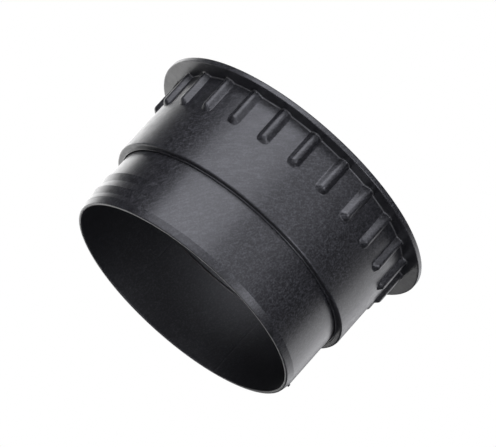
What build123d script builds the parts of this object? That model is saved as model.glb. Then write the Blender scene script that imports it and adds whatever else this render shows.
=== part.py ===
from build123d import *

import os
from math import cos, hypot, radians, sin

# A stepped snoot in black moulded plastic, in millimetres.
#
# Frame: the origin is the centre of the flange's rear face. +Z runs along the bore towards the
# mouth, and +X passes through the middle of the nose tube's barbs.
#
# A flanged and ribbed collar carries a narrower nose tube. The tube goes in from the flange's
# side until its rear bead meets the collar's front wall, and a wire ring snapped into a groove
# behind the bead keeps it there, so the nose tube can turn in the collar without limit.

# Overall
NOSE_RADIUS = 50.0
WALL = 1.9
OVERALL_LENGTH = 64.8

# Collar
COLLAR_RADIUS = 53.1
COLLAR_LENGTH = 37.9
BORE_LEAD_IN = 0.6
STEP_EDGE_FILLET = 0.65

# Flange at the collar's rear end
FLANGE_RADIUS = 60.6
FLANGE_THICKNESS = 2.1
FLANGE_EDGE_FILLET = 0.35
FLANGE_ROOT_FILLET = 0.4

# Axial ribs between the flange and the middle of the collar
RIB_COUNT = 24
RIB_START_ANGLE = 3.5
RIB_HEIGHT = 2.0
RIB_FOOT_WIDTH = 5.3
RIB_CREST_WIDTH = 1.7
RIB_END = 17.3
RIB_TIP_LENGTH = 1.6
RIB_CREST_FILLET = 1.8
RIB_FOOT_FILLET = 0.5

# Raised lip round the hole in the collar's front wall
HOLE_CLEARANCE = 0.3
LIP_WIDTH = 0.5
LIP_HEIGHT = 0.45
LIP_FILLET = 0.2

# Nose tube
BEAD_RADIUS = 51.0
BEAD_THICKNESS = 1.35
BEAD_FILLET = 0.3
AXIAL_PLAY = 0.15
MOUTH_RADIUS = 49.3
MOUTH_TAPER = 3.1
MOUTH_EDGE_FILLET = 0.35

# Barbs on one side of the nose tube, with their shoulders towards the flange
BARB_SHOULDERS = (50.4, 56.8)
BARB_HEIGHT = 0.65
BARB_LENGTH = 3.2
BARB_HALF_ANGLE = 48.0
BARB_DISC_OFFSET = 6.0

# Moulding nib at the edge of the mouth's taper
NIB_ANGLE = 177.0
NIB_RADIUS = 0.6
NIB_HEIGHT = 0.5

# Snap ring
WIRE_RADIUS = 0.72
GROOVE_RADIUS = 0.8
RING_GAP_ANGLE = 14.0
RING_GAP_CENTRE = 270.0
RING_END_FILLET = 0.3

# How far added features reach into the wall that they grow from, and a selector's tolerance
EMBED = 0.8
NEAR = 0.01

# Places that follow from the sizes above
COLLAR_BORE_RADIUS = COLLAR_RADIUS - WALL
HOLE_RADIUS = NOSE_RADIUS + HOLE_CLEARANCE
FRONT_WALL_BACK = COLLAR_LENGTH - WALL
RIB_TOP_RADIUS = COLLAR_RADIUS + RIB_HEIGHT
RIB_SLOPE = (RIB_FOOT_WIDTH - RIB_CREST_WIDTH) / 2 / RIB_HEIGHT
BEAD_FRONT = FRONT_WALL_BACK - AXIAL_PLAY
NOSE_REAR = BEAD_FRONT - BEAD_THICKNESS
NOSE_BORE_RADIUS = NOSE_RADIUS - WALL
TAPER_START = OVERALL_LENGTH - MOUTH_TAPER
WIRE_PLACE = (COLLAR_BORE_RADIUS, NOSE_REAR - AXIAL_PLAY - WIRE_RADIUS)


def corners_at(profile, axis, value):
    """The corners of a profile whose place along an axis is the given value."""
    return profile.vertices().filter_by_position(axis, value - NEAR, value + NEAR)


def reach(point):
    """How far a point is from the bore's axis."""
    return hypot(point.X, point.Y)


def on_wall(corner):
    """Whether a corner of the toothed band lies on the collar's wall."""
    return abs(reach(corner) - COLLAR_RADIUS) < NEAR


def on_crest(corner):
    """Whether a corner of the toothed band lies on a rib's crest."""
    return reach(corner) > RIB_TOP_RADIUS - NEAR


def flange_root_edges(part):
    """The edges where the collar's wall and ribs meet the flange's front face."""
    level = part.edges().filter_by_position(Axis.Z, FLANGE_THICKNESS - NEAR, FLANGE_THICKNESS + NEAR)
    return level.filter_by(lambda edge: reach(edge @ 0) < RIB_TOP_RADIUS + NEAR)


os.makedirs("parts", exist_ok=True)


# Collar: flange, plain wall, and front wall with its lip, turned from one profile
with BuildPart() as collar:
    with BuildSketch(Plane.XZ) as collar_profile:
        with Locations((COLLAR_BORE_RADIUS, 0)):
            Rectangle(WALL, COLLAR_LENGTH, align=Align.MIN)
            Rectangle(FLANGE_RADIUS - COLLAR_BORE_RADIUS, FLANGE_THICKNESS, align=Align.MIN)
        with Locations((HOLE_RADIUS, FRONT_WALL_BACK)):
            Rectangle(WALL, WALL, align=Align.MIN)
            Rectangle(LIP_WIDTH, WALL + LIP_HEIGHT, align=Align.MIN)
        fillet(corners_at(collar_profile, Axis.X, FLANGE_RADIUS), FLANGE_EDGE_FILLET)
        fillet(corners_at(collar_profile, Axis.X, COLLAR_RADIUS).sort_by(Axis.Y)[-1], STEP_EDGE_FILLET)
        fillet(corners_at(collar_profile, Axis.Y, COLLAR_LENGTH + LIP_HEIGHT), LIP_FILLET)
        chamfer(corners_at(collar_profile, Axis.X, COLLAR_BORE_RADIUS).sort_by(Axis.Y)[0], BORE_LEAD_IN)
        with Locations(WIRE_PLACE):
            Circle(GROOVE_RADIUS, mode=Mode.SUBTRACT)
    revolve(axis=Axis.Z)

    # Ribs, drawn as one toothed band so that their feet and crests are rounded in plan
    with BuildSketch(Plane.XY.offset(FLANGE_THICKNESS / 2)) as rib_band:
        Circle(COLLAR_RADIUS)
        with PolarLocations(0, RIB_COUNT, start_angle=RIB_START_ANGLE):
            Polygon(
                (COLLAR_RADIUS - EMBED, -RIB_FOOT_WIDTH / 2 - EMBED * RIB_SLOPE),
                (RIB_TOP_RADIUS, -RIB_CREST_WIDTH / 2),
                (RIB_TOP_RADIUS, RIB_CREST_WIDTH / 2),
                (COLLAR_RADIUS - EMBED, RIB_FOOT_WIDTH / 2 + EMBED * RIB_SLOPE),
                align=None,
            )
        fillet(rib_band.vertices().filter_by(on_crest), RIB_CREST_FILLET)
        fillet(rib_band.vertices().filter_by(on_wall), RIB_FOOT_FILLET)
        Circle(COLLAR_RADIUS - EMBED, mode=Mode.SUBTRACT)
    extrude(amount=RIB_END - FLANGE_THICKNESS / 2)

    # Sloping tips, cut by a cone that meets the collar's wall where the ribs end
    with BuildSketch(Plane.XZ):
        Polygon(
            (COLLAR_RADIUS, RIB_END),
            (RIB_TOP_RADIUS, RIB_END - RIB_TIP_LENGTH),
            (FLANGE_RADIUS, RIB_END - RIB_TIP_LENGTH),
            (FLANGE_RADIUS, RIB_END),
            align=None,
        )
    revolve(axis=Axis.Z, mode=Mode.SUBTRACT)

    # Fillet where the wall and the ribs meet the flange
    fillet(flange_root_edges(collar), FLANGE_ROOT_FILLET)

collar.part.label = "collar"
export_step(collar.part, "parts/collar.step")


# Barbs, turned as full rings and then kept only where an off-centre disc reaches past the tube's
# wall, so that each one fades away at its two ends
barb_disc_radius = hypot(
    NOSE_RADIUS * cos(radians(BARB_HALF_ANGLE)) - BARB_DISC_OFFSET,
    NOSE_RADIUS * sin(radians(BARB_HALF_ANGLE)),
)
with BuildPart() as barbs:
    for shoulder in BARB_SHOULDERS:
        with BuildSketch(Plane.XZ):
            Polygon(
                (NOSE_RADIUS - EMBED, shoulder),
                (NOSE_RADIUS + BARB_HEIGHT, shoulder),
                (NOSE_RADIUS, shoulder + BARB_LENGTH),
                (NOSE_RADIUS - EMBED, shoulder + BARB_LENGTH),
                align=None,
            )
        revolve(axis=Axis.Z)
    with BuildSketch(Plane.XY.offset(min(BARB_SHOULDERS))):
        with Locations((BARB_DISC_OFFSET, 0)):
            Circle(barb_disc_radius)
    extrude(amount=OVERALL_LENGTH - min(BARB_SHOULDERS), mode=Mode.INTERSECT)


# Nose tube: rear bead, plain wall and tapered mouth, with the barbs and the nib
nib_direction = Vector(1, 0, 0).rotate(Axis.Z, NIB_ANGLE)
nib_foot = nib_direction * (NOSE_RADIUS - EMBED) + Vector(0, 0, TAPER_START - NIB_RADIUS)
with BuildPart() as nose_tube:
    with BuildSketch(Plane.XZ) as nose_profile:
        Polygon(
            (NOSE_BORE_RADIUS, NOSE_REAR),
            (BEAD_RADIUS, NOSE_REAR),
            (BEAD_RADIUS, BEAD_FRONT),
            (NOSE_RADIUS, BEAD_FRONT),
            (NOSE_RADIUS, TAPER_START),
            (MOUTH_RADIUS, OVERALL_LENGTH),
            (NOSE_BORE_RADIUS, OVERALL_LENGTH),
            align=None,
        )
        fillet(corners_at(nose_profile, Axis.X, BEAD_RADIUS), BEAD_FILLET)
        fillet(corners_at(nose_profile, Axis.Y, OVERALL_LENGTH), MOUTH_EDGE_FILLET)
    revolve(axis=Axis.Z)
    add(barbs.part)
    with BuildSketch(Plane(origin=nib_foot, z_dir=nib_direction)):
        Circle(NIB_RADIUS)
    extrude(amount=EMBED + NIB_HEIGHT)

nose_tube.part.label = "nose_tube"
export_step(nose_tube.part, "parts/nose_tube.step")


# Snap ring: round wire bent to a circle, left open so that it can be squeezed into its groove
with BuildPart() as retaining_ring:
    with BuildSketch(Plane.XZ.rotated((0, 0, RING_GAP_CENTRE + RING_GAP_ANGLE / 2))):
        with Locations(WIRE_PLACE):
            Circle(WIRE_RADIUS)
    revolve(axis=Axis.Z, revolution_arc=360 - RING_GAP_ANGLE)
    fillet(retaining_ring.edges().group_by(Edge.length)[0], RING_END_FILLET)

retaining_ring.part.label = "retaining_ring"
export_step(retaining_ring.part, "parts/retaining_ring.step")
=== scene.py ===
import math

import bmesh
import bpy
import numpy as np
from mathutils import Matrix, Vector


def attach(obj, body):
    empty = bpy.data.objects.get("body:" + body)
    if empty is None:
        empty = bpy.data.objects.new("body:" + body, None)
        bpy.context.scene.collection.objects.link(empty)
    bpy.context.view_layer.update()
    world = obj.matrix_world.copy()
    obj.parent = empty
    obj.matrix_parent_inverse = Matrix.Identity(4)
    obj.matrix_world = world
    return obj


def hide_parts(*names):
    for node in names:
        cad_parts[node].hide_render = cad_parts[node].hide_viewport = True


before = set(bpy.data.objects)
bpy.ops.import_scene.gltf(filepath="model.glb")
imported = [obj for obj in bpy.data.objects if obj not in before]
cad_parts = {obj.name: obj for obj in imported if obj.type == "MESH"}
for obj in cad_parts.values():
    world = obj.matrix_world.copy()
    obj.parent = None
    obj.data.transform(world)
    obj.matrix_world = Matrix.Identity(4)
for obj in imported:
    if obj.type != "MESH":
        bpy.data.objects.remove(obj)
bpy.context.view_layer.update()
scene = bpy.context.scene

MM = 0.001

# Camera: a long lens a little above the flange's plane, rolled so that the mouth points down and left
CAMERA_AIM = Vector((0.617, 0.0, 25.89)) * MM
CAMERA_DISTANCE = 1.7949
CAMERA_ELEVATION = math.radians(19.24)
CAMERA_ROLL = math.radians(138.06)
CAMERA_LENS = 353.7
CAMERA_SENSOR = 36.0
CAMERA_CLIP_START = 0.05
CAMERA_CLIP_END = 50.0

# Sizes in millimetres, the same as the CAD model's
NOSE_RADIUS = 50.0
WALL = 1.9
OVERALL_LENGTH = 64.8
COLLAR_RADIUS = 53.1
COLLAR_LENGTH = 37.9
COLLAR_BORE_RADIUS = COLLAR_RADIUS - WALL
BORE_LEAD_IN = 0.6
STEP_EDGE_FILLET = 0.65
FLANGE_RADIUS = 60.6
FLANGE_THICKNESS = 2.1
FLANGE_EDGE_FILLET = 0.35
FLANGE_ROOT_FILLET = 0.4
RIB_COUNT = 24
RIB_START_ANGLE = math.radians(3.5)
RIB_HEIGHT = 2.0
RIB_FOOT_WIDTH = 5.3
RIB_CREST_WIDTH = 1.7
RIB_END = 17.3
RIB_CREST_FILLET = 1.8
RIB_FOOT_FILLET = 0.5
HOLE_RADIUS = 50.3
LIP_WIDTH = 0.5
LIP_HEIGHT = 0.45
LIP_FILLET = 0.2
BEAD_RADIUS = 51.0
BEAD_THICKNESS = 1.35
BEAD_FILLET = 0.3
AXIAL_PLAY = 0.15
MOUTH_RADIUS = 49.3
MOUTH_TAPER = 3.1
MOUTH_EDGE_FILLET = 0.35
BARB_SHOULDERS = (50.4, 56.8)
BARB_HEIGHT = 0.65
BARB_LENGTH = 3.2
BARB_HALF_ANGLE = math.radians(48.0)
BARB_DISC_OFFSET = 6.0
NIB_ANGLE = math.radians(177.0)
NIB_RADIUS = 0.6
NIB_HEIGHT = 0.5
WIRE_RADIUS = 0.72
GROOVE_RADIUS = 0.8
RING_GAP_ANGLE = math.radians(14.0)
RING_GAP_CENTRE = math.radians(270.0)
RING_END_FILLET = 0.3

FRONT_WALL_BACK = COLLAR_LENGTH - WALL
BEAD_FRONT = FRONT_WALL_BACK - AXIAL_PLAY
NOSE_REAR = BEAD_FRONT - BEAD_THICKNESS
NOSE_BORE_RADIUS = NOSE_RADIUS - WALL
TAPER_START = OVERALL_LENGTH - MOUTH_TAPER
WIRE_RADIUS_FROM_AXIS = COLLAR_BORE_RADIUS
WIRE_HEIGHT = NOSE_REAR - AXIAL_PLAY - WIRE_RADIUS

# Finer shapes that only these meshes have, in millimetres
LEAD_IN_FILLET = 0.12
LIP_ROOT_FILLET = 0.1
FRONT_WALL_FILLET = 0.15
NOSE_REAR_FILLET = 0.2
BEAD_ROOT_FILLET = 0.1
TAPER_START_FILLET = 0.25
RIB_TIP_STRETCH = 0.95
RIB_TIP_SQUARENESS = 2.6
RIB_TIP_CENTRE = RIB_END - RIB_FOOT_WIDTH / 2 * RIB_TIP_STRETCH
WITNESS_HEIGHT = 62.4
WITNESS_DEPTH = 0.07
WITNESS_HALF_WIDTH = 0.1
WITNESS_HALF_ANGLE = math.radians(19.0)
WITNESS_END_POWER = 12
MOULD_LINES = (math.radians(69.0), math.radians(124.0))
MOULD_LINE_HEIGHT = 0.06
MOULD_LINE_HALF_ANGLE = math.radians(0.22)
MOULD_LINE_FROM_REAR = 0.3
MOULD_LINE_FROM_MOUTH = 0.5
NIB_SINK = 0.42
NIB_EDGE_FILLET = 0.12
# Waves left by the plastic's shrinkage: (count around, depth, twist per millimetre of height, phase)
SHRINK_WAVES = ((3, 0.018, 0.0, 0.8), (5, 0.012, -0.12, 0.0), (11, 0.007, 0.21, 2.0))

# Mesh density: numbers of steps, and places of rows and columns in millimetres and degrees
ARC_STEPS = 4
ROW_SPACING = 2.4
HOLDING_ROW = 0.25
SAME_PLACE = 0.01
RIB_SLOPE_SHARES = (0.33, 0.67)
RIB_GAP_SHARES = (0.12, 0.5)
TIP_ROW_SPACING = 0.19
TIP_ROWS_BEFORE = 0.2
TIP_ROWS_PAST = 0.6
TIP_ROWS_CLEARANCE = 0.3
NOSE_COLUMNS = 600
MOULD_LINE_COLUMNS = (-0.6, -0.36, -0.15, 0.0, 0.15, 0.36, 0.6)
MOULD_LINE_CLEARANCE = 0.9
BARB_ROWS = (-0.2, -0.04, -0.005, 0.005, 0.07, 0.16, 0.4, 0.8, 1.3, 1.8, 2.3, 2.8, 3.1, 3.2, 3.3, 3.5)
BARB_ROWS_CLEARANCE = 1.2
WITNESS_ROWS = np.array((-0.24, -0.16, -0.08, 0.0, 0.08, 0.16, 0.24))
WITNESS_ROWS_AFTER = TAPER_START + HOLDING_ROW
WITNESS_ROWS_TOLERANCE = 0.15
NIB_STEPS = 24
NIB_FOOT_RING_RADIUS = 0.3
NIB_TOP_RING_RADIUS = 0.25
NIB_ARC_TURNS = (0.0, 0.5, 1.0, math.pi / 2)
RING_SEGMENTS = 240
RING_STEPS_AROUND = 20
RING_END_CENTRE = 0.0001
RING_END_INNER_SHARE = 0.3
WELD_DISTANCE = 0.0005

# Worn edges that are partly a painted highlight, and a painted highlight along the flange's root: how
# steeply a point's edges fall away or rise where each starts and over what range it grows, and the
# heights between which the painted root highlight lies, in millimetres
EDGE_SLOPE_START = 0.02
EDGE_SLOPE_RANGE = 0.12
ROOT_SLOPE_RANGE = 0.06
ROOT_STARTS_ABOVE_FLANGE = 0.02
ROOT_ENDS_PAST_FILLET = 0.05

# Colours
PLASTIC = (0.0045, 0.0045, 0.0055)
PALE_FIBRE = (0.05, 0.05, 0.055)
# The lighter colour of worn edges is partly wear and partly a painted highlight along outward edges, such
# as the mouth's rim and the rib tips.
WORN_EDGE_AND_HIGHLIGHT = (0.05, 0.05, 0.052)
# This pale colour along the flange's root fillet is a painted highlight.
ROOT_HIGHLIGHT = (0.13, 0.13, 0.13)
SCRATCH = (0.09, 0.09, 0.09)
SPECK = (0.16, 0.16, 0.155)
BLACK_OXIDE = (0.05, 0.05, 0.053)
BROWN_OXIDE = (0.075, 0.07, 0.065)
RUBBED_STEEL = (0.16, 0.16, 0.165)
WHITE = (1.0, 1.0, 1.0)
COOL_WHITE = (0.9, 0.91, 1.0)
FAINTLY_COOL_WHITE = (0.97, 0.97, 1.0)
SKY = (0.95, 0.96, 1.0)

# Plastic: radii in metres between which the bore's finish changes to the outside's and what differs
# in the bore, stretches per metre of its long marks, depths in metres of its unevenness, and the
# directions and strengths of the flow streaks
PLASTIC_IOR = 1.5
BORE_FINISH_END = 0.0483
OUTSIDE_FINISH_START = 0.0491
BORE_STREAK_SHARE = 0.3
BORE_TONE_SHARE = 0.7
BORE_EXTRA_ROUGHNESS = 0.12
STREAK_STRETCH = (75.0, 420.0, 420.0)
FIBRE_STRETCH = (260.0, 1300.0, 1300.0)
SCRATCH_STRETCH = (90.0, 1100.0, 150.0)
SCRATCH_TURN = (0.5, 0.9, 0.4)
CLOUD_DEPTH = 0.00006
MOTTLE_DEPTH = 0.00001
STREAK_DEPTH = 0.000014
FIBRE_DEPTH = 0.000014
GRAIN_DEPTH = 0.000009
COLLAR_STREAK_TURN = (math.radians(19.2), math.radians(41.9), 0.0)
COLLAR_STREAK_STRENGTH = 1.0
NOSE_STREAK_TURN = (math.radians(19.2), math.radians(60.0), 0.0)
NOSE_STREAK_STRENGTH = 0.6

# Wire: the stretch per metre of its drawn lines, and depths in metres of its unevenness
WIRE_LINE_STRETCH = (60.0, 60.0, 9000.0)
WIRE_STAIN_DEPTH = 0.00001
WIRE_LINE_DEPTH = 0.000006
WIRE_GRAIN_DEPTH = 0.000003

# Stage, in millimetres. The floor is just under the flange, so that the two don't share a plane
FLOOR_HEIGHT = -0.05
FLOOR_HOLE_RADIUS = 0.002
BACKDROP_RADIUS = 4200.0
BACKDROP_HEIGHT = 4500.0
BACKDROP_FILLET = 1000.0
FLOOR_COLUMNS = 96

# Lights: name, azimuth and elevation, width and height as seen from the object, all in degrees,
# then brightness and colour. Azimuth 0 is behind the object, at +Y, and 90 is at +X
LIGHT_CENTRE = Vector((0.0, 0.0, 0.03))
LIGHT_DISTANCE = 1.6
LIGHTS = (
    ("key", 140, -14, 57, 44, 13.6, COOL_WHITE),
    ("fill", 192, -12, 42, 48, 4.4, COOL_WHITE),
    ("strip", 220, 14, 20, 44, 15.0, COOL_WHITE),
    ("right", 311, -22, 52, 38, 5.5, FAINTLY_COOL_WHITE),
    ("left", 26, -18, 38, 38, 9.8, WHITE),
    ("back", 22, 18, 46, 26, 6.6, WHITE),
    ("front_high", 165, 50, 70, 20, 5.0, COOL_WHITE),
    ("top", 180, 82, 40, 30, 1.5, COOL_WHITE),
)
SKY_STRENGTH = 0.06


def add_camera():
    """The camera at the viewing angle, set as the scene's camera."""
    data = bpy.data.cameras.new("camera")
    data.lens = CAMERA_LENS
    data.sensor_width = CAMERA_SENSOR
    data.clip_start = CAMERA_CLIP_START
    data.clip_end = CAMERA_CLIP_END
    camera = bpy.data.objects.new("camera", data)
    scene.collection.objects.link(camera)
    back = Vector((0.0, -math.cos(CAMERA_ELEVATION), math.sin(CAMERA_ELEVATION)))
    level = back.to_track_quat("Z", "Y").to_matrix().to_4x4()
    place = Matrix.Translation(CAMERA_AIM + back * CAMERA_DISTANCE)
    camera.matrix_world = place @ level @ Matrix.Rotation(-CAMERA_ROLL, 4, "Z")
    scene.camera = camera


def corner_arc(before, corner, after, radius, steps=ARC_STEPS):
    """The points of an arc that rounds a corner between two straight runs."""
    if radius == 0:
        return [corner]
    back = (before - corner).normalized()
    ahead = (after - corner).normalized()
    half = back.angle(ahead) / 2
    centre = corner + (back + ahead).normalized() * radius / math.sin(half)
    start = corner + back * radius / math.tan(half) - centre
    end = corner + ahead * radius / math.tan(half) - centre
    sweep = math.pi - 2 * half
    points = []
    for step in range(steps + 1):
        share = step / steps
        a = math.sin((1 - share) * sweep) / math.sin(sweep)
        b = math.sin(share * sweep) / math.sin(sweep)
        points.append(centre + start * a + end * b)
    return points


def rounded(corners, closed=True):
    """An outline from (x, y, fillet radius) corners."""
    places = [Vector(corner[:2]) for corner in corners]
    outline = []
    for index, (place, corner) in enumerate(zip(places, corners)):
        if not closed and index in (0, len(places) - 1):
            outline.append(place)
        else:
            outline += corner_arc(places[index - 1], place, places[(index + 1) % len(places)], corner[2])
    return outline


def divided(outline, spacing=ROW_SPACING):
    """A closed outline whose long runs are divided, with a point close to each end of every run."""
    points = []
    for here, there in zip(outline, outline[1:] + outline[:1]):
        points.append(here)
        run = (there - here).length
        if run < 3 * HOLDING_ROW:
            continue
        inner = run - 2 * HOLDING_ROW
        count = max(1, math.ceil(inner / spacing))
        for step in range(count + 1):
            points.append(here.lerp(there, (HOLDING_ROW + inner * step / count) / run))
    return points


def grid_mesh(name, places, closed_rows=True):
    """A mesh from a rows x columns x 3 array of places in millimetres. Columns go round and close."""
    rows, columns = places.shape[:2]
    row = np.arange(rows if closed_rows else rows - 1)[:, None]
    column = np.arange(columns)[None, :]
    next_row = (row + 1) % rows
    next_column = (column + 1) % columns
    corners = [row * columns + column, row * columns + next_column,
               next_row * columns + next_column, next_row * columns + column]
    faces = np.stack([np.broadcast_to(corner, (len(row), columns)) for corner in corners], axis=-1)
    mesh = bpy.data.meshes.new(name)
    mesh.from_pydata((places.reshape(-1, 3) * MM).tolist(), [], faces.reshape(-1, 4).tolist())
    return mesh


def finished(name, mesh):
    """An object of a mesh, with smooth shading."""
    mesh.validate()
    mesh.shade_smooth()
    mesh.update()
    piece = bpy.data.objects.new(name, mesh)
    scene.collection.objects.link(piece)
    return piece


def turned(radii, heights, angles):
    """Places on a turned surface from radii, heights and angles that broadcast together."""
    x, y, z = np.broadcast_arrays(radii * np.cos(angles), radii * np.sin(angles), heights)
    return np.stack([x, y, z], axis=-1)


def ripple(angles, heights):
    """The slight unevenness that moulded plastic has after it shrinks, in millimetres."""
    return sum(depth * np.sin(count * angles + twist * heights + phase)
               for count, depth, twist, phase in SHRINK_WAVES)


def rib_section():
    """Half of a rib's section, as (distance from its middle, height) points."""
    half_pitch = math.pi * COLLAR_RADIUS / RIB_COUNT
    section = rounded([
        (0.0, RIB_HEIGHT, 0.0),
        (RIB_CREST_WIDTH / 2, RIB_HEIGHT, RIB_CREST_FILLET),
        (RIB_FOOT_WIDTH / 2, 0.0, RIB_FOOT_FILLET),
        (half_pitch, 0.0, 0.0),
    ], closed=False)
    crest_end = section[1 + ARC_STEPS]
    foot_start, foot_end = section[2 + ARC_STEPS], section[-2]
    extra = [crest_end.lerp(foot_start, share) for share in RIB_SLOPE_SHARES]
    extra += [foot_end.lerp(section[-1], share) for share in RIB_GAP_SHARES]
    return sorted(section + extra, key=lambda point: point.x)


def rib_columns(section):
    """The angle of each of the collar's columns, and its distance from the middle of the nearest rib."""
    side = [(math.atan2(point.x, COLLAR_RADIUS + point.y), point.x) for point in section]
    one_rib = [(-angle, distance) for angle, distance in reversed(side[1:-1])] + side
    columns = []
    for rib in range(RIB_COUNT):
        start = RIB_START_ANGLE + rib * 2 * math.pi / RIB_COUNT
        columns += [(start + angle, distance) for angle, distance in one_rib]
    return np.array(columns).T


def rib_height(section, distance, height):
    """How far the ribs stand out of the wall. The end of each has a superellipse's outline."""
    past_centre = np.maximum(height - RIB_TIP_CENTRE, 0.0) / RIB_TIP_STRETCH
    power = RIB_TIP_SQUARENESS
    spread = (distance ** power + past_centre ** power) ** (1 / power)
    return np.interp(spread, [point.x for point in section], [point.y for point in section])


def collar_mesh():
    """The collar: flange, ribbed wall, step with its lip, bore and ring groove."""
    outline = rounded([
        (COLLAR_BORE_RADIUS + BORE_LEAD_IN, 0.0, LEAD_IN_FILLET),
        (FLANGE_RADIUS, 0.0, FLANGE_EDGE_FILLET),
        (FLANGE_RADIUS, FLANGE_THICKNESS, FLANGE_EDGE_FILLET),
        (COLLAR_RADIUS, FLANGE_THICKNESS, FLANGE_ROOT_FILLET),
        (COLLAR_RADIUS, COLLAR_LENGTH, STEP_EDGE_FILLET),
        (HOLE_RADIUS + LIP_WIDTH, COLLAR_LENGTH, LIP_ROOT_FILLET),
        (HOLE_RADIUS + LIP_WIDTH, COLLAR_LENGTH + LIP_HEIGHT, LIP_FILLET),
        (HOLE_RADIUS, COLLAR_LENGTH + LIP_HEIGHT, LIP_FILLET),
        (HOLE_RADIUS, FRONT_WALL_BACK, FRONT_WALL_FILLET),
        (COLLAR_BORE_RADIUS, FRONT_WALL_BACK, FRONT_WALL_FILLET),
    ])
    groove = []
    for step in range(2 * ARC_STEPS + 1):
        turn = math.pi * (0.5 - step / (2 * ARC_STEPS))
        groove.append(Vector((COLLAR_BORE_RADIUS + GROOVE_RADIUS * math.cos(turn),
                              WIRE_HEIGHT + GROOVE_RADIUS * math.sin(turn))))
    outline += groove
    lead_in_top = Vector((COLLAR_BORE_RADIUS, BORE_LEAD_IN))
    outline += corner_arc(groove[-1], lead_in_top, outline[0], LEAD_IN_FILLET)
    rows = []
    tip_rows = np.arange(RIB_TIP_CENTRE - TIP_ROWS_BEFORE, RIB_END + TIP_ROWS_PAST, TIP_ROW_SPACING)
    for point in divided(outline):
        on_wall = abs(point.x - COLLAR_RADIUS) < SAME_PLACE
        if on_wall and tip_rows[0] - TIP_ROWS_CLEARANCE < point.y < tip_rows[-1] + TIP_ROWS_CLEARANCE:
            continue
        if on_wall and point.y > tip_rows[-1] and rows[-1][1] < tip_rows[0]:
            rows += [(COLLAR_RADIUS, height) for height in tip_rows]
        rows.append(tuple(point))
    radius, height = np.array(rows).T[:, :, None]
    section = rib_section()
    angle, distance = rib_columns(section)[:, None, :]
    rib = rib_height(section, distance, height)
    wall = ((radius > COLLAR_RADIUS - SAME_PLACE)
            & (radius < COLLAR_RADIUS + FLANGE_ROOT_FILLET + SAME_PLACE))
    on_ribs = wall & (height > FLANGE_THICKNESS - SAME_PLACE) & (height < RIB_END + TIP_ROWS_PAST)
    radius = radius + np.where(on_ribs, rib, 0.0) + ripple(angle, height)
    return grid_mesh("collar_body", turned(radius, height, angle))


def barb_reach(angle):
    """How far the barbs may stand out at each angle, limited by an off-centre disc."""
    edge_x = NOSE_RADIUS * math.cos(BARB_HALF_ANGLE) - BARB_DISC_OFFSET
    edge_y = NOSE_RADIUS * math.sin(BARB_HALF_ANGLE)
    disc = math.hypot(edge_x, edge_y)
    across = BARB_DISC_OFFSET * np.sin(angle)
    reach = BARB_DISC_OFFSET * np.cos(angle) + np.sqrt(disc ** 2 - across ** 2)
    return np.maximum(reach - NOSE_RADIUS, 0.0)


def nose_columns():
    """The angles of the nose tube's columns, with more of them beside the bore's two mould lines."""
    angles = list(np.arange(NOSE_COLUMNS) * 2 * math.pi / NOSE_COLUMNS)
    for line in MOULD_LINES:
        angles = [angle for angle in angles if abs(angle - line) > math.radians(MOULD_LINE_CLEARANCE)]
        angles += [line + math.radians(offset) for offset in MOULD_LINE_COLUMNS]
    return np.array(sorted(angles))


def barb_height(angle, height):
    """How far the barbs stand out of the wall. Each is a sharp shoulder that slopes down towards the
    mouth, and it sinks into the wall where its reach ends."""
    barb = np.zeros_like(height + angle)
    shortfall = np.maximum(BARB_HEIGHT - barb_reach(angle), 0.0)
    for shoulder in BARB_SHOULDERS:
        past = height - shoulder
        ridge = np.where(past > 0, np.maximum(BARB_HEIGHT * (1 - past / BARB_LENGTH), 0.0), 0.0)
        barb = barb + np.maximum(ridge - shortfall, 0.0)
    return barb


def witness_depth(angle, height):
    """The depth of the shallow witness line across the tapered mouth, which fades out at both ends."""
    turn = (angle + math.pi) % (2 * math.pi) - math.pi
    fade = 1 + (turn / WITNESS_HALF_ANGLE) ** WITNESS_END_POWER
    return WITNESS_DEPTH * np.exp(-(((height - WITNESS_HEIGHT) / WITNESS_HALF_WIDTH) ** 2)) / fade


def mould_line_height(angle):
    """How far the bore's mould lines stand in towards its axis."""
    return sum(MOULD_LINE_HEIGHT * np.exp(-(((angle - line) / MOULD_LINE_HALF_ANGLE) ** 2))
               for line in MOULD_LINES)


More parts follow.
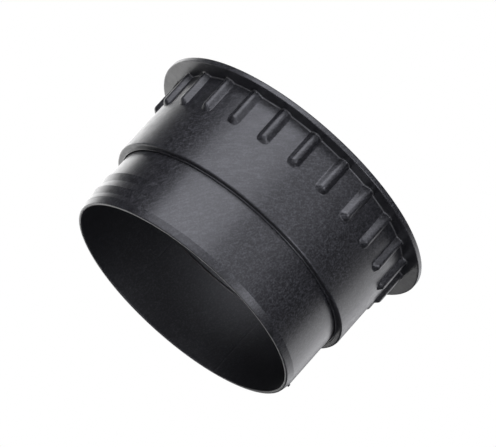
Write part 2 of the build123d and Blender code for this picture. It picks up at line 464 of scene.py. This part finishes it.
def nose_tube_mesh():
    """The nose tube: rear bead, barbed wall, tapered mouth with a witness line, and bore with two
    faint mould lines."""
    outline = rounded([
        (NOSE_BORE_RADIUS, NOSE_REAR, NOSE_REAR_FILLET),
        (BEAD_RADIUS, NOSE_REAR, BEAD_FILLET),
        (BEAD_RADIUS, BEAD_FRONT, BEAD_FILLET),
        (NOSE_RADIUS, BEAD_FRONT, BEAD_ROOT_FILLET),
        (NOSE_RADIUS, TAPER_START, TAPER_START_FILLET),
        (MOUTH_RADIUS, OVERALL_LENGTH, MOUTH_EDGE_FILLET),
        (NOSE_BORE_RADIUS, OVERALL_LENGTH, MOUTH_EDGE_FILLET),
    ])
    barb_rows = [shoulder + offset for shoulder in BARB_SHOULDERS for offset in BARB_ROWS]
    slope = (MOUTH_RADIUS - NOSE_RADIUS) / MOUTH_TAPER
    rows = []
    for point in divided(outline):
        on_wall = abs(point.x - NOSE_RADIUS) < SAME_PLACE
        if on_wall and any(abs(point.y - height) < BARB_ROWS_CLEARANCE for height in barb_rows):
            continue
        if point.y > barb_rows[-1] and rows and rows[-1][1] < barb_rows[0]:
            rows += [(NOSE_RADIUS, height) for height in barb_rows]
        rows.append(tuple(point))
        if point.x > MOUTH_RADIUS and abs(point.y - WITNESS_ROWS_AFTER) < WITNESS_ROWS_TOLERANCE:
            rows += [(NOSE_RADIUS + slope * (height - TAPER_START), height)
                     for height in WITNESS_HEIGHT + WITNESS_ROWS]
    radius, height = np.array(rows).T[:, :, None]
    angle = nose_columns()[None, :]
    outside = (abs(radius - NOSE_RADIUS) < SAME_PLACE) & (height > BEAD_FRONT)
    taper = (radius > MOUTH_RADIUS - MOUTH_EDGE_FILLET) & (height > TAPER_START)
    bore = ((radius < NOSE_BORE_RADIUS + SAME_PLACE) & (height > NOSE_REAR + MOULD_LINE_FROM_REAR)
            & (height < OVERALL_LENGTH - MOULD_LINE_FROM_MOUTH))
    radius = (radius + np.where(outside, barb_height(angle, height), 0.0)
              - np.where(taper, witness_depth(angle, height), 0.0)
              - np.where(bore, mould_line_height(angle), 0.0) + ripple(angle, height))
    return grid_mesh("nose_body", turned(radius, height, angle))


def nib_mesh():
    """The moulding nib: a small round-topped peg out of the nose tube's wall."""
    top = NIB_SINK + NIB_HEIGHT
    profile = [(0.0, 0.0), (NIB_FOOT_RING_RADIUS, 0.0), (NIB_RADIUS, 0.0),
               (NIB_RADIUS, NIB_SINK - NIB_EDGE_FILLET)]
    profile += [(NIB_RADIUS - NIB_EDGE_FILLET * (1 - math.cos(turn)),
                 top - NIB_EDGE_FILLET * (1 - math.sin(turn))) for turn in NIB_ARC_TURNS]
    profile = np.array(profile + [(NIB_TOP_RING_RADIUS, top), (0.0, top)])
    around = np.arange(NIB_STEPS) * 2 * math.pi / NIB_STEPS
    outward = np.array((math.cos(NIB_ANGLE), math.sin(NIB_ANGLE), 0.0))
    sideways = np.array((-outward[1], outward[0], 0.0))
    upward = np.array((0.0, 0.0, 1.0))
    foot = outward * (NOSE_RADIUS - NIB_SINK) + upward * (TAPER_START - NIB_RADIUS)
    across = np.cos(around)[:, None] * sideways + np.sin(around)[:, None] * upward
    places = foot + profile[:, 1, None, None] * outward + profile[:, 0, None, None] * across[None]
    return grid_mesh("nib", places, closed_rows=False)


def ring_mesh():
    """The snap ring: round wire bent to an open circle, with rounded ends."""
    start = RING_GAP_CENTRE + RING_GAP_ANGLE / 2
    sweep = 2 * math.pi - RING_GAP_ANGLE
    end_angle = RING_END_FILLET / WIRE_RADIUS_FROM_AXIS
    near_end = [(0.0, RING_END_CENTRE), (0.0, WIRE_RADIUS * RING_END_INNER_SHARE)]
    near_end += [(end_angle * (1 - math.sin(turn)), WIRE_RADIUS - RING_END_FILLET * (1 - math.cos(turn)))
                 for turn in np.linspace(math.pi / 2, 0.0, ARC_STEPS + 2)]
    middle = [(share * sweep, WIRE_RADIUS) for share in np.linspace(0, 1, RING_SEGMENTS + 1)[1:-1]]
    far_end = [(sweep - angle, radius) for angle, radius in reversed(near_end)]
    stations = np.array(near_end + middle + far_end)
    turn = np.arange(RING_STEPS_AROUND) * 2 * math.pi / RING_STEPS_AROUND
    radius = WIRE_RADIUS_FROM_AXIS + stations[:, 1, None] * np.cos(turn)
    height = WIRE_HEIGHT + stations[:, 1, None] * np.sin(turn)
    return grid_mesh("ring_wire", turned(radius, height, start + stations[:, 0, None]), closed_rows=False)


def merged(name, meshes):
    """One mesh from several, with outward normals and points that coincide made one."""
    work = bmesh.new()
    for mesh in meshes:
        work.from_mesh(mesh)
    bmesh.ops.remove_doubles(work, verts=work.verts, dist=WELD_DISTANCE * MM)
    bmesh.ops.recalc_face_normals(work, faces=work.faces)
    result = bpy.data.meshes.new(name)
    work.to_mesh(result)
    work.free()
    return result


class Shader:
    """A material's node tree, with a short call for each kind of node."""

    def __init__(self, name):
        self.material = bpy.data.materials.new(name)
        self.material.use_nodes = True
        self.tree = self.material.node_tree
        self.surface = self.tree.nodes["Principled BSDF"]
        self.place = self.node("ShaderNodeTexCoord").outputs["Object"]

    def node(self, kind, settings=None, inputs=None):
        """A node with its settings, and values or links for its inputs."""
        node = self.tree.nodes.new(kind)
        for key, value in (settings or {}).items():
            setattr(node, key, value)
        for key, value in (inputs or {}).items():
            if isinstance(value, bpy.types.NodeSocket):
                self.tree.links.new(value, node.inputs[key])
            else:
                node.inputs[key].default_value = value
        return node

    def math(self, operation, *values):
        """A Math node's result."""
        return self.node("ShaderNodeMath", {"operation": operation}, dict(enumerate(values))).outputs[0]

    def scaled(self, scale, turn=(0.0, 0.0, 0.0)):
        """Object coordinates turned and then stretched by a factor on each axis, per metre."""
        place = self.node("ShaderNodeMapping", None, {"Vector": self.place, "Rotation": turn}).outputs[0]
        return self.node("ShaderNodeMapping", None, {"Vector": place, "Scale": scale}).outputs[0]

    def noise(self, vector, scale=1.0, detail=2.0, roughness=0.5, distortion=0.0):
        """Noise between 0 and 1."""
        values = {"Vector": vector, "Scale": scale, "Detail": detail, "Roughness": roughness,
                  "Distortion": distortion}
        return self.node("ShaderNodeTexNoise", None, values).outputs[0]

    def ramp(self, value, low, high, to_low=0.0, to_high=1.0):
        """A value carried smoothly from one range to another, and held at its ends."""
        values = {0: value, 1: low, 2: high, 3: to_low, 4: to_high}
        return self.node("ShaderNodeMapRange", {"interpolation_type": "SMOOTHSTEP"}, values).outputs[0]

    def mix(self, share, first, second):
        """A colour between two colours."""
        node = self.node("ShaderNodeMix", {"data_type": "RGBA"}, {0: share})
        for socket, colour in zip((6, 7), (first, second)):
            if isinstance(colour, bpy.types.NodeSocket):
                self.tree.links.new(colour, node.inputs[socket])
            else:
                node.inputs[socket].default_value = (*colour, 1.0)
        return node.outputs[2]

    def attribute(self, name):
        """A value stored on the mesh's points."""
        return self.node("ShaderNodeAttribute", {"attribute_name": name}).outputs["Fac"]

    def bump(self, layers):
        """A normal from (height, depth in metres) layers, the finest last."""
        normal = None
        for height, depth in layers:
            values = {"Strength": 1.0, "Distance": depth, "Height": height}
            if normal is not None:
                values["Normal"] = normal
            normal = self.node("ShaderNodeBump", None, values).outputs[0]
        return normal

    def connect(self, socket, value):
        """Links a value to the surface, or sets it there."""
        if isinstance(value, bpy.types.NodeSocket):
            self.tree.links.new(value, self.surface.inputs[socket])
        else:
            self.surface.inputs[socket].default_value = value


def black_plastic(name, streak_turn, streak_strength):
    """Black moulded plastic: fine grain, flow streaks, dust specks, a painted highlight along the
    flange's root, hairline scratches, and worn edges that are partly a painted highlight. The nose tube's
    bore is rougher and less marked."""
    shader = Shader(name)
    grain = shader.noise(shader.place, scale=1500.0, detail=2.5, roughness=0.6)
    mottle = shader.noise(shader.place, scale=140.0, detail=3.0, roughness=0.55)
    cloud = shader.noise(shader.place, scale=28.0)
    streak = shader.noise(shader.scaled(STREAK_STRETCH, streak_turn),
                          detail=4.0, roughness=0.6, distortion=0.4)
    fibres = shader.noise(shader.scaled(FIBRE_STRETCH, streak_turn), detail=2.5, roughness=0.6)
    hairs = shader.noise(shader.scaled(SCRATCH_STRETCH, SCRATCH_TURN), distortion=0.3)
    specks = shader.node("ShaderNodeTexVoronoi", None, {"Vector": shader.place, "Scale": 420.0})
    speck_size = shader.ramp(specks.outputs["Color"], low=0.82, high=1.0, to_high=0.16)
    speck = shader.math("LESS_THAN", specks.outputs["Distance"], speck_size)
    hair = shader.math("MULTIPLY", shader.ramp(hairs, low=0.7, high=0.74),
                       shader.ramp(mottle, low=0.48, high=0.62))
    # Outward edges: partly wear, partly a painted highlight.
    wear_and_highlight = shader.math("MULTIPLY", shader.attribute("edge"),
                       shader.ramp(mottle, low=0.3, high=0.7, to_low=0.35))
    # The flange's root fillet: a painted highlight line, broken up by mottle.
    root_highlight = shader.math("MULTIPLY", shader.attribute("root"),
                       shader.ramp(mottle, low=0.35, high=0.65, to_low=0.5))

    level = shader.node("ShaderNodeVectorMath", {"operation": "MULTIPLY"},
                        {0: shader.place, 1: (1.0, 1.0, 0.0)}).outputs["Vector"]
    radius = shader.node("ShaderNodeVectorMath", {"operation": "LENGTH"}, {0: level}).outputs["Value"]
    outside = shader.ramp(radius, BORE_FINISH_END, OUTSIDE_FINISH_START, to_low=BORE_STREAK_SHARE)
    fibre_tone = shader.math("MULTIPLY", shader.ramp(fibres, low=0.4, high=0.7, to_high=0.42), outside)
    streak = shader.math("MULTIPLY", streak, shader.math("MULTIPLY", outside, streak_strength))
    fibres = shader.math("MULTIPLY", fibres, outside)

    tone = shader.math("ADD", shader.ramp(grain, low=0.42, high=0.72, to_high=0.55), fibre_tone)
    tone = shader.math("MULTIPLY", tone, shader.math("MAXIMUM", outside, BORE_TONE_SHARE))
    colour = shader.mix(tone, PLASTIC, PALE_FIBRE)
    # Worn edges carry wear and a painted highlight, and the root mark is a painted highlight. The
    # scratches and specks are the plastic's own marks.
    for mark, strength, tint in (
        (wear_and_highlight, 0.5, WORN_EDGE_AND_HIGHLIGHT), (root_highlight, 0.75, ROOT_HIGHLIGHT), (hair, 0.35, SCRATCH), (speck, 0.5, SPECK),
    ):
        colour = shader.mix(shader.math("MULTIPLY", mark, strength), colour, tint)
    shader.connect("Base Color", colour)

    rough = shader.ramp(cloud, low=0.3, high=0.7, to_low=0.325, to_high=0.365)
    for change in (
        shader.ramp(streak, low=0.3, high=0.75, to_low=-0.02, to_high=0.045),
        shader.ramp(grain, low=0.3, high=0.7, to_low=-0.03, to_high=0.05),
        shader.math("MULTIPLY", wear_and_highlight, -0.05),
        shader.math("MULTIPLY", speck, 0.3),
        shader.ramp(radius, BORE_FINISH_END, OUTSIDE_FINISH_START, BORE_EXTRA_ROUGHNESS, 0.0),
    ):
        rough = shader.math("ADD", rough, change)
    shader.connect("Roughness", rough)
    shader.connect("IOR", PLASTIC_IOR)
    shader.connect("Normal", shader.bump([
        (cloud, CLOUD_DEPTH), (mottle, MOTTLE_DEPTH), (streak, STREAK_DEPTH), (fibres, FIBRE_DEPTH),
        (grain, GRAIN_DEPTH),
    ]))
    return shader.material


def drawn_wire(name):
    """Black-oxide spring wire: fine drawn lines, a faint brown tint and rubbed high spots."""
    shader = Shader(name)
    lines = shader.noise(shader.scaled(WIRE_LINE_STRETCH), detail=3.0, roughness=0.6)
    grain = shader.noise(shader.place, scale=2600.0, detail=3.0, roughness=0.6)
    stain = shader.noise(shader.place, scale=90.0, detail=3.0, roughness=0.6)
    colour = shader.mix(shader.ramp(stain, low=0.35, high=0.7), BLACK_OXIDE, BROWN_OXIDE)
    colour = shader.mix(shader.ramp(lines, low=0.45, high=0.7, to_high=0.4), colour, RUBBED_STEEL)
    shader.connect("Base Color", colour)
    shader.connect("Metallic", 1.0)
    rough = shader.math("ADD", shader.ramp(lines, low=0.3, high=0.7, to_low=0.26, to_high=0.4),
                        shader.ramp(stain, low=0.4, high=0.7, to_high=0.1))
    shader.connect("Roughness", rough)
    shader.connect("Normal", shader.bump([
        (stain, WIRE_STAIN_DEPTH), (lines, WIRE_LINE_DEPTH), (grain, WIRE_GRAIN_DEPTH),
    ]))
    return shader.material


def read_values(items, key, width, kind=float):
    """A property of all a mesh's points or edges, as an array of rows."""
    values = np.empty(len(items) * width, dtype=kind)
    items.foreach_get(key, values)
    return values.reshape(-1, width)


def mark_edges(mesh):
    """Stores on each point, from 0 to 1, how sharply the surface turns outwards there, and how
    sharply it turns inwards at the flange's root."""
    places = read_values(mesh.vertices, "co", 3)
    normals = read_values(mesh.vertices, "normal", 3)
    ends = read_values(mesh.edges, "vertices", 2, np.int64)
    bend = np.zeros(len(places))
    count = np.zeros(len(places))
    for here, there in ((ends[:, 0], ends[:, 1]), (ends[:, 1], ends[:, 0])):
        gap = places[there] - places[here]
        length = np.linalg.norm(gap, axis=1) + 1e-9
        np.add.at(bend, here, -(gap * normals[here]).sum(axis=1) / length)
        np.add.at(count, here, 1.0)
    bend /= np.maximum(count, 1.0)
    edge = np.clip((bend - EDGE_SLOPE_START) / EDGE_SLOPE_RANGE, 0.0, 1.0)
    above_flange = places[:, 2] / MM - FLANGE_THICKNESS
    by_flange = ((above_flange > ROOT_STARTS_ABOVE_FLANGE)
                 & (above_flange < FLANGE_ROOT_FILLET + ROOT_ENDS_PAST_FILLET))
    root = np.where(by_flange, np.clip(-bend / ROOT_SLOPE_RANGE, 0.0, 1.0), 0.0)
    for name, values in (("edge", edge), ("root", root)):
        mesh.attributes.new(name, "FLOAT", "POINT").data.foreach_set("value", values)


def add_stage():
    """A pale floor that curves up all round into a backdrop. Only the camera sees it."""
    outline = rounded([
        (FLOOR_HOLE_RADIUS, FLOOR_HEIGHT, 0.0),
        (BACKDROP_RADIUS, FLOOR_HEIGHT, BACKDROP_FILLET),
        (BACKDROP_RADIUS, BACKDROP_HEIGHT, 0.0),
    ], closed=False)
    radius, height = np.array([tuple(point) for point in outline]).T[:, :, None]
    angle = np.arange(FLOOR_COLUMNS) * 2 * math.pi / FLOOR_COLUMNS
    mesh = grid_mesh("floor", turned(radius, height, angle[None, :]), closed_rows=False)
    floor = finished("floor", mesh)
    shader = Shader("pale_floor")
    shader.connect("Base Color", (0.0, 0.0, 0.0, 1.0))
    shader.connect("Specular IOR Level", 0.0)
    shader.connect("Emission Color", (*WHITE, 1.0))
    shader.connect("Emission Strength", 1.0)
    mesh.materials.append(shader.material)
    floor.visible_diffuse = False
    floor.visible_glossy = False
    floor.visible_transmission = False
    floor.visible_shadow = False


def add_softbox(name, azimuth, elevation, width, height, brightness, colour):
    """A soft rectangular light that faces the object."""
    around, up = math.radians(azimuth), math.radians(elevation)
    away = Vector((math.sin(around) * math.cos(up), math.cos(around) * math.cos(up), math.sin(up)))
    data = bpy.data.lights.new(name, "AREA")
    data.shape = "RECTANGLE"
    data.size = 2 * LIGHT_DISTANCE * math.tan(math.radians(width) / 2)
    data.size_y = 2 * LIGHT_DISTANCE * math.tan(math.radians(height) / 2)
    data.energy = brightness * data.size * data.size_y
    data.color = colour
    light = bpy.data.objects.new(name, data)
    scene.collection.objects.link(light)
    place = Matrix.Translation(LIGHT_CENTRE + away * LIGHT_DISTANCE)
    light.matrix_world = place @ away.to_track_quat("Z", "Y").to_matrix().to_4x4()


def add_lights():
    """Soft studio light: a broad key at the front, boxes to its left and right, and panels behind."""
    for light in LIGHTS:
        add_softbox(*light)
    world = bpy.data.worlds.new("studio")
    scene.world = world
    world.use_nodes = True
    sky = world.node_tree.nodes["Background"]
    sky.inputs["Color"].default_value = (*SKY, 1.0)
    sky.inputs["Strength"].default_value = SKY_STRENGTH
    scene.view_settings.view_transform = "Standard"


add_camera()
add_stage()
add_lights()

for name, meshes, node, slot, body, material in (
    ("collar_shell", [collar_mesh()], "collar", "collar_plastic", "collar_body",
     black_plastic("collar_plastic", COLLAR_STREAK_TURN, COLLAR_STREAK_STRENGTH)),
    ("nose_shell", [nose_tube_mesh(), nib_mesh()], "nose_tube", "nose_plastic", "nose_body",
     black_plastic("nose_plastic", NOSE_STREAK_TURN, NOSE_STREAK_STRENGTH)),
    ("snap_ring", [ring_mesh()], "retaining_ring", "ring_steel", "collar_body", drawn_wire("ring_steel")),
):
    piece = finished(name, merged(name, meshes))
    mark_edges(piece.data)
    piece.data.materials.append(material)
    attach(piece, body)
    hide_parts(node)
